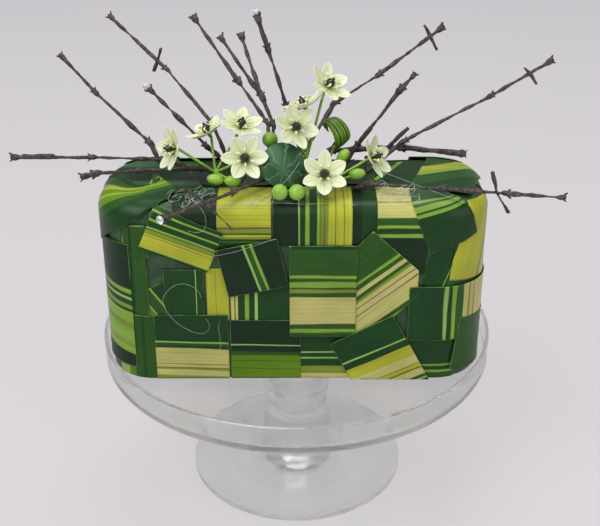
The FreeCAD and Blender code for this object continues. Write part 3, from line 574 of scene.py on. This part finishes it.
def relief(name, size, depth):
    """Cloud texture for the bark, with lumps of that size in metres."""
    texture = bpy.data.textures.new(name, "CLOUDS")
    texture.noise_scale, texture.noise_depth = size, depth
    return texture


# Each relief with its strength and the level of the cloud that leaves the surface in place.
KNOBS = ((relief("swellings", 9 * MM, 0), 1.4 * MM, 0.45),
         (relief("bark_relief", 3.0 * MM, 2), 0.6 * MM, 0.5))


def bark_twig(node):
    """Twig re-meshed evenly, smoothed where lengths meet, and roughened as bark."""
    shell = bpy.data.objects.new(node + "_draft", NODES[node].data.copy())
    bpy.context.scene.collection.objects.link(shell)
    even = shell.modifiers.new("even", "REMESH")
    even.mode, even.voxel_size = "VOXEL", BARK_VOXEL
    soft = shell.modifiers.new("soft", "SMOOTH")
    soft.factor, soft.iterations = 0.5, 5
    for texture, strength, level in KNOBS:
        rough = shell.modifiers.new(texture.name, "DISPLACE")
        rough.texture, rough.texture_coords = texture, "LOCAL"
        rough.strength, rough.mid_level = strength, level
    settled = shell.evaluated_get(bpy.context.evaluated_depsgraph_get())
    mesh = bpy.data.meshes.new_from_object(settled)
    mesh.name = node + "_bark"
    bpy.data.objects.remove(shell)
    mesh.materials.clear()
    shade_smooth(mesh)
    add_object(node + "_bark", mesh, node, "twig_bark", BARK)


for node_name in [name for name in NODES if name.endswith("_twig")]:
    bark_twig(node_name)


# ---------------------------------------------------------------- beads
# Rings of corners from the glued side up: share of the depth, share of the radius, and turn as a
# share of one facet.
BEAD_RINGS = ((0.0, 0.3, 0.0), (0.45, 0.92, 0.5), (0.62, 1.0, 0.0), (0.85, 0.86, 0.5),
              (1.0, 0.6, 0.0))
BEAD_SIDES = 8
FACE_DEPTH = 0.01 * MM         # points this near to an end of a bead lie on its flat face
SPOKE_HINT = (0.3, -1, 0.2)    # the first corner stands square to this and to the axis


def bead(node):
    """Cut crystals: a ring of facets under a flat table, in place of each round bead."""
    points, faces = [], []
    for piece in islands(node):
        middle = piece.mean(axis=0)
        axis = np.linalg.svd(piece - middle)[2]
        spread = [np.ptp((piece - middle) @ direction) for direction in axis]
        round_axis = axis[int(np.argmax([abs(s - np.median(spread)) for s in spread]))]
        depth = (piece - middle) @ round_axis
        radius = np.linalg.norm(piece - middle - np.outer(depth, round_axis), axis=1)
        low, high = depth.min(), depth.max()
        if radius[depth < low + FACE_DEPTH].max() > radius[depth > high - FACE_DEPTH].max():
            round_axis, low, high = -round_axis, -high, -low
        side = np.cross(round_axis, SPOKE_HINT)
        side /= np.linalg.norm(side)
        other = np.cross(round_axis, side)
        start = len(points)
        for share, width, twist in BEAD_RINGS:
            for index in range(BEAD_SIDES):
                angle = (index + twist) * math.tau / BEAD_SIDES
                spoke = side * math.cos(angle) + other * math.sin(angle)
                points.append(middle + round_axis * (low + share * (high - low))
                              + spoke * radius.max() * width)
        for ring in range(len(BEAD_RINGS) - 1):
            turned = BEAD_RINGS[ring][2] > BEAD_RINGS[ring + 1][2]
            for index in range(BEAD_SIDES):
                a = start + ring * BEAD_SIDES + index
                b = start + ring * BEAD_SIDES + (index + 1) % BEAD_SIDES
                c, d = b + BEAD_SIDES, a + BEAD_SIDES
                faces += [(a, b, c), (a, c, d)] if turned else [(a, b, d), (b, c, d)]
        faces.append(tuple(start + index for index in reversed(range(BEAD_SIDES))))
        top = start + (len(BEAD_RINGS) - 1) * BEAD_SIDES
        faces.append(tuple(top + index for index in range(BEAD_SIDES)))
    mesh = bpy.data.meshes.new(node + "_cut")
    mesh.from_pydata([tuple(point) for point in points], [], faces)
    mesh.validate()
    add_object(node + "_cut", mesh, node, "crystal", CRYSTAL)


for node_name in ("crystal_left_bead", "centre_bead", "front_bead", "thick_twig_beads"):
    bead(node_name)


# ---------------------------------------------------------------- flowers
def flower_frames(node):
    """Seat, facing and reach of each star of tepals."""
    for piece in islands(node):
        middle = piece.mean(axis=0)
        axis = np.linalg.svd(piece - middle)[2][2]
        depth = (piece - middle) @ axis
        radial = piece - middle - np.outer(depth, axis)
        reach = np.linalg.norm(radial, axis=1)
        tips, heart = reach > 0.9 * reach.max(), reach < 0.3 * reach.max()
        if depth[tips].mean() < depth[heart].mean():
            axis, depth = -axis, -depth
        first = radial[int(np.argmax(reach))] / reach.max()
        other = np.cross(axis, first)
        seat = middle + axis * depth.min()
        turn = Matrix(np.column_stack([first, other, axis]).tolist()).to_4x4()
        yield Matrix.Translation(Vector(seat)) @ turn, reach.max()


CUP_RADIUS = 24 * MM
TEPAL_COLUMNS, TEPAL_ROWS = 8, 14
TEPAL_THICKNESS = 0.28 * MM
TEPAL_CHANNEL = 0.22           # rise of its edges over its middle, as a share of its half width
TEPAL_SEAT = 0.35 * MM         # height of its foot over the seat
# Share of the flower's reach, half width and height over the seat of each whorl of tepals.
OUTER_WHORL, INNER_WHORL = (0.97, 3.9 * MM, 0.0), (0.93, 4.4 * MM, 0.5 * MM)


def tepal(reach, half_width, raise_by, rng):
    """One tepal along +X: pointed oval, cupped along and channelled across."""
    droop = rng.uniform(-0.12, 0.16)
    twist = rng.uniform(-0.18, 0.18)
    points, along, across = [], [], []
    for row in range(TEPAL_ROWS + 1):
        u = row / TEPAL_ROWS
        radius = u * reach
        width = half_width * math.sin(math.pi * min(1, 0.1 + 0.9 * u) ** 1.35) ** 0.65
        width = max(width, 0.1 * half_width if row < TEPAL_ROWS else 0.02 * half_width)
        rise = CUP_RADIUS - math.sqrt(max(CUP_RADIUS ** 2 - radius ** 2, 0))
        rise += (raise_by - droop * reach * 0.25) * u ** 2 + TEPAL_SEAT
        for column in range(TEPAL_COLUMNS + 1):
            v = 2 * column / TEPAL_COLUMNS - 1
            lift = TEPAL_CHANNEL * width * (v * v) + twist * width * v * u
            points.append((radius, v * width, rise + lift))
            along.append(u)
            across.append(v)
    faces = []
    for row in range(TEPAL_ROWS):
        for column in range(TEPAL_COLUMNS):
            a = row * (TEPAL_COLUMNS + 1) + column
            faces.append((a, a + TEPAL_COLUMNS + 1, a + TEPAL_COLUMNS + 2, a + 1))
    return points, faces, along, across


def flower_tepals(spray):
    """Two whorls of three tepals for each flower of a spray."""
    rng = random.Random(sum(map(ord, spray)))
    points, faces, along, across = [], [], [], []
    for place, reach in flower_frames(spray + "_tepals"):
        for number in range(6):
            share, half_width, raise_by = INNER_WHORL if number % 2 else OUTER_WHORL
            shape = tepal(reach * share, half_width, raise_by, rng)
            turn = place @ Matrix.Rotation(math.radians(60 * number), 4, "Z")
            start = len(points)
            points += [turn @ Vector(point) for point in shape[0]]
            faces += [tuple(index + start for index in face) for face in shape[1]]
            along += shape[2]
            across += shape[3]
    mesh = bpy.data.meshes.new(spray + "_petals")
    mesh.from_pydata([tuple(point) for point in points], [], faces)
    float_attribute(mesh, "along", along)
    float_attribute(mesh, "across", across)
    shade_smooth(mesh)
    thicken(add_object(spray + "_petals", mesh, spray + "_tepals", "petal", PETAL),
            TEPAL_THICKNESS)


def lobe(points, faces, kinds, place, profile, kind, sides=12):
    """Adds a surface of revolution about +Z through (height, radius) pairs in millimetres, closed
    at both ends. kind is the number of its material."""
    start = len(points)
    for height, radius in profile:
        for index in range(sides):
            angle = math.tau * index / sides
            points.append(place @ (Vector((radius * math.cos(angle), radius * math.sin(angle),
                                           height)) * MM))
    rings = len(profile)
    for ring in range(rings - 1):
        for index in range(sides):
            a, b = start + ring * sides + index, start + ring * sides + (index + 1) % sides
            faces.append((a, b, b + sides, a + sides))
            kinds.append(kind)
    faces.append(tuple(start + index for index in reversed(range(sides))))
    faces.append(tuple(start + (rings - 1) * sides + index for index in range(sides)))
    kinds += [kind, kind]


# Height and radius along each part of a flower's heart, in millimetres.
OVARY_PROFILE = ((0.3, 1.4), (1.3, 2.5), (2.8, 2.9), (4.3, 2.6), (5.5, 1.7), (6.2, 0.9),
                 (6.8, 0.7), (7.2, 0.9), (7.5, 0.3))
FILAMENT_PROFILE = ((0, 0.75), (2.5, 0.6), (5.6, 0.25))
ANTHER_PROFILE = ((-1.3, 0.25), (-0.8, 0.65), (0.8, 0.65), (1.3, 0.25))
FILAMENT_ROOT = Matrix.Translation((1.6 * MM, 0, 0.7 * MM))
FILAMENT_LEAN = 0.62
ANTHER_PLACE = Matrix.Translation((0, 0, 5.5 * MM)) @ Matrix.Rotation(1.2, 4, "Y")


def flower_centres(spray):
    """Dark ovary with its stigma, ringed by six stamens, for each flower of a spray."""
    rng = random.Random(sum(map(ord, spray)) + 1)
    points, faces, kinds = [], [], []
    for place, _ in flower_frames(spray + "_tepals"):
        lobe(points, faces, kinds, place, OVARY_PROFILE, 0, 18)
        for number in range(6):
            lean = FILAMENT_LEAN + rng.uniform(-0.1, 0.1)
            turn = (place @ Matrix.Rotation(math.radians(60 * number + 30), 4, "Z")
                    @ FILAMENT_ROOT @ Matrix.Rotation(lean, 4, "Y"))
            lobe(points, faces, kinds, turn, FILAMENT_PROFILE, 1, 8)
            lobe(points, faces, kinds, turn @ ANTHER_PLACE, ANTHER_PROFILE, 1, 8)
    mesh = bpy.data.meshes.new(spray + "_centres")
    mesh.from_pydata([tuple(point) for point in points], [], faces)
    add_object(spray + "_centres", mesh, spray + "_hearts", "flower_heart", OVARY, ANTHER)
    mesh.polygons.foreach_set("material_index", kinds)
    shade_smooth(mesh)


for spray_name in ("left_spray", "centre_spray", "right_spray"):
    flower_tepals(spray_name)
    flower_centres(spray_name)


# ---------------------------------------------------------------- curled leaf
CURL_AXIS = Vector((-0.74, -0.6, -0.3)).normalized()
CURL_FROM, CURL_TO = math.radians(-95), math.radians(205)
CURL_RADIUS, CURL_CLOSING = 10.5 * MM, 3.2 * MM     # radius at the start, and how much it loses
CURL_WIDTH, CURL_THICKNESS = 13 * MM, 0.3 * MM
CURL_HOLLOW, CURL_WAVE = 0.9 * MM, 0.4 * MM         # how far its edges turn in, and how it wavers
CURL_DRIFT = 2 * MM                                 # how far its tip moves along the axis
CURL_ROWS, CURL_COLUMNS = 48, 8
LOOP_HEIGHT = 17 * MM                               # of the solid's loop, down from its top
STALK_FOOT, STALK_END = 0.8, 0.7                    # radii in millimetres


def curled_leaf():
    """Ribbon of striped leaf rolled into an open loop that narrows to its tip, on its stalk."""
    solid = islands("curled_leaf")[0]
    low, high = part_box("curled_leaf")
    loop = solid[solid[:, 2] > high.z - LOOP_HEIGHT]
    centre = Vector((loop.min(axis=0) + loop.max(axis=0)) / 2)
    right = Vector((0, 0, 1)).cross(CURL_AXIS).normalized()
    up = CURL_AXIS.cross(right).normalized()
    points, faces, band, grain, edge = [], [], [], [], []
    for row in range(CURL_ROWS + 1):
        t = row / CURL_ROWS
        angle = CURL_FROM + (CURL_TO - CURL_FROM) * t
        spoke = right * math.cos(angle) + up * math.sin(angle)
        half = CURL_WIDTH / 2 * min(1, 0.35 + 4 * t) * max(0.04, 1 - t ** 2.2)
        for column in range(CURL_COLUMNS + 1):
            v = 2 * column / CURL_COLUMNS - 1
            radius = CURL_RADIUS - CURL_CLOSING * t - CURL_HOLLOW * v * v
            radius += CURL_WAVE * math.sin(9 * t)
            points.append(centre + spoke * radius + CURL_AXIS * (v * half - CURL_DRIFT * t))
            band.append((v + 1) / 2)
            grain.append((v * half / MM, angle * radius / MM, 5.0))
            edge.append((1 - abs(v)) * half / MM)
    for row in range(CURL_ROWS):
        for column in range(CURL_COLUMNS):
            a = row * (CURL_COLUMNS + 1) + column
            faces.append((a, a + 1, a + CURL_COLUMNS + 2, a + CURL_COLUMNS + 1))
    kinds = [0] * len(faces)
    root = Vector(solid[solid[:, 2] < low.z + 1 * MM].mean(axis=0))
    stalk = points[CURL_COLUMNS // 2] - root
    place = Matrix.Translation(root) @ stalk.to_track_quat("Z", "Y").to_matrix().to_4x4()
    lobe(points, faces, kinds, place, ((0, STALK_FOOT), (stalk.length / MM, STALK_END)), 1)
    spare = len(points) - len(band)     # the stalk's points, whose material reads no band or edge
    mesh = bpy.data.meshes.new("curled_leaf_ribbon")
    mesh.from_pydata([tuple(point) for point in points], [], faces)
    float_attribute(mesh, "band", band + [0.5] * spare)
    float_attribute(mesh, "edge", edge + [0.5] * spare)
    vector_attribute(mesh, "grain",
                     [number for place in grain + [(0, 0, 0)] * spare for number in place])
    ribbon = add_object("curled_leaf_ribbon", mesh, "curled_leaf", "pale_leaf",
                        leaf_material("F14 L6 G12 P4 F24 P4 G12 L6 F18"), STEM)
    mesh.polygons.foreach_set("material_index", kinds)
    shade_smooth(mesh)
    thicken(ribbon, CURL_THICKNESS)


curled_leaf()


# ---------------------------------------------------------------- hairs
FIBRE_RADIUS = 0.075 * MM
HAIR_HEIGHT = 3.6 * MM     # from the foam, over the squares of the front


def over_front(*places):
    """Points just off the front's squares, each given as u and v in millimetres."""
    u, v = (np.array(values) * MM for values in zip(*places))
    return FRONT.roll_up(u, v, np.full(len(u), HAIR_HEIGHT))


def over_top(*places):
    """Points in millimetres from the middle of the block's top, in metres."""
    return [(x * MM, y * MM, BLOCK_HIGH.z + z * MM) for x, y, z in places]


TANGLE_POINTS = 7
TANGLE_STEP = (2.2, 1.6, 1.6)     # the furthest that two points lie apart in x, y and z
LOWEST_HAIR = 1.5                 # over the foam


def tangle(centre, spread, count, seed):
    """Short curling hairs round a point, in millimetres from the middle of the block's top."""
    rng = random.Random(seed)
    for _ in range(count):
        x, y, z = (c + rng.uniform(-s, s) for c, s in zip(centre, spread))
        heading, bend = rng.uniform(0, math.tau), rng.choice((-1, 1)) * rng.uniform(0.3, 1.1)
        route = []
        for _ in range(TANGLE_POINTS):
            route.append((x, y, z))
            heading += bend
            x += TANGLE_STEP[0] * math.cos(heading)
            y += TANGLE_STEP[1] * math.sin(heading)
            z = max(LOWEST_HAIR, z + TANGLE_STEP[2] * math.sin(heading + 0.8))
        yield over_top(*route)


def hairs(name, routes):
    """Fine silvery hairs, too thin to be cords, that lie on the leaves and catch on the twigs."""
    data = bpy.data.curves.new(name, "CURVE")
    data.dimensions, data.bevel_depth, data.bevel_resolution = "3D", FIBRE_RADIUS, 1
    data.materials.append(FIBRE)
    for route in routes:
        spline = data.splines.new("NURBS")
        spline.points.add(len(route) - 1)
        for point, place in zip(spline.points, route):
            point.co = (*place, 1)
        spline.use_endpoint_u, spline.order_u = True, 4
    thing = bpy.data.objects.new(name, data)
    bpy.context.scene.collection.objects.link(thing)
    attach(thing, "leaf_block")


hairs("front_hairs", [
    over_front((-54, 57), (-55, 62), (-63, 68), (-72, 64), (-78, 56), (-75, 47), (-68, 38),
               (-57, 32), (-51, 33), (-49, 39), (-52, 43)),
    over_front((-44, 41), (-46, 34), (-42, 26), (-45, 21)),
    over_front((-46, 84), (-32, 86), (-22, 91), (-10, 95)),
    over_front((-28, 112), (-10, 114), (8, 111), (22, 114), (35, 112)),
    over_front((-62, 118), (-52, 112), (-47, 104), (-52, 97), (-60, 100)),
    over_front((-18, 120), (-14, 116), (-10, 121), (-13, 126))])
hairs("round_leaf_hair", [over_top((2, -40, 24), (-4, -46, 15), (-16, -50, 7), (-28, -54, 3),
                                   (-44, -56, 2.5))])
hairs("right_hairs", [over_top((44, -18, 12), (70, -34, 7), (96, -46, 1)),
                      *tangle((56, -40, 5), (9, 8, 3), 22, 3)])
hairs("left_hairs", [*tangle((-62, -43, 3), (9, 9, 1), 20, 8),
                     *tangle((-24, -48, 3), (6, 4, 1), 8, 5)])


# ---------------------------------------------------------------- floor, light and camera
# painted shade: the floor's seen colour runs from NEAR_TONE in front to the darker FAR_TONE at the
# back, standing in for the light falling off
NEAR_TONE, FAR_TONE = (221, 217, 219), (211, 208, 212)
FLOOR_TONE, FLOOR_GLOW = (205, 202, 206), 0.72     # the floor's colour, and its share of own glow
FLOOR_REACH = 12.0
WORLD_LIGHT = 0.55
LAMP_TARGET = Vector((0, 0, 0.15))


def seen_rays(made):
    """Share of a backdrop's own glow: whole for rays that see it straight, in glass or in gloss."""
    path = made.add("LightPath")
    rays = made.maths("MAXIMUM", path.outputs["Is Camera Ray"], path.outputs["Is Glossy Ray"])
    return made.maths("MAXIMUM", rays, path.outputs["Is Transmission Ray"])


def floor():
    """Pale seamless floor; its seen colour darkens a little towards the back, a painted shade where
    the light falls off.
    """
    mesh = bpy.data.meshes.new("floor")
    corners = ((-1, -1), (1, -1), (1, 1), (-1, 1))
    mesh.from_pydata([(x * FLOOR_REACH, y * FLOOR_REACH, cad_low.z) for x, y in corners], [],
                     [(0, 1, 2, 3)])
    thing = bpy.data.objects.new("floor", mesh)
    bpy.context.scene.collection.objects.link(thing)
    made = Shader("floor", Roughness=0.6, Specular_IOR_Level=0.2)
    made.colour(linear(FLOOR_TONE))
    place = made.add("SeparateXYZ", {0: made.add("TexCoord").outputs["Object"]}).outputs["Y"]
    # painted shade: darker towards the back
    seen = made.ramp(made.remap(place, -0.4, 1.4, 0, 1),
                     [(0.0, linear(NEAR_TONE)), (1.0, linear(FAR_TONE))])
    glow = made.add("Emission", {"Color": seen, "Strength": 1.0}).outputs[0]
    share = made.maths("MULTIPLY", seen_rays(made), FLOOR_GLOW)
    both = made.add("MixShader", {"Fac": share, 1: made.surface.outputs[0], 2: glow})
    out = made.tree.nodes["Material Output"]
    made.join(both.outputs[0], out.inputs["Surface"])
    mesh.materials.append(made.material)


def lamp(name, place, size, power):
    """Square lamp that faces the arrangement."""
    data = bpy.data.lights.new(name, "AREA")
    data.size, data.energy = size, power
    thing = bpy.data.objects.new(name, data)
    thing.location = place
    thing.rotation_euler = (LAMP_TARGET - Vector(place)).to_track_quat("-Z", "Y").to_euler()
    bpy.context.scene.collection.objects.link(thing)


floor()
lamp("key", (-0.9, -1.0, 1.7), 1.2, 30)
lamp("fill", (1.4, -1.2, 1.0), 1.4, 12)
lamp("top", (0.1, 0.5, 1.9), 1.0, 14)

world = bpy.data.worlds.new("studio")
bpy.context.scene.world = world
world.use_nodes = True
backdrop = world.node_tree.nodes["Background"]
backdrop.inputs["Color"].default_value = linear(FAR_TONE)
sky = world.node_tree.nodes.new("ShaderNodeLightPath")
level = world.node_tree.nodes.new("ShaderNodeMapRange")
level.inputs["To Min"].default_value = WORLD_LIGHT
level.inputs["To Max"].default_value = 1.0
world.node_tree.links.new(sky.outputs["Is Camera Ray"], level.inputs["Value"])
world.node_tree.links.new(level.outputs[0], backdrop.inputs["Strength"])

# Place, tilt, angle and shift were fitted together to the rim, the foot and the block's edges.
camera_data = bpy.data.cameras.new("camera")
camera_data.sensor_width = 36
camera_data.angle = math.radians(32.70)
camera_data.shift_y = -0.0206
camera = bpy.data.objects.new("camera", camera_data)
camera.location = (0.00213, -0.5797, 0.4334)
camera.rotation_euler = (math.radians(64.411), 0, 0)
bpy.context.scene.collection.objects.link(camera)
bpy.context.scene.camera = camera
bpy.context.scene.view_settings.view_transform = "Standard"
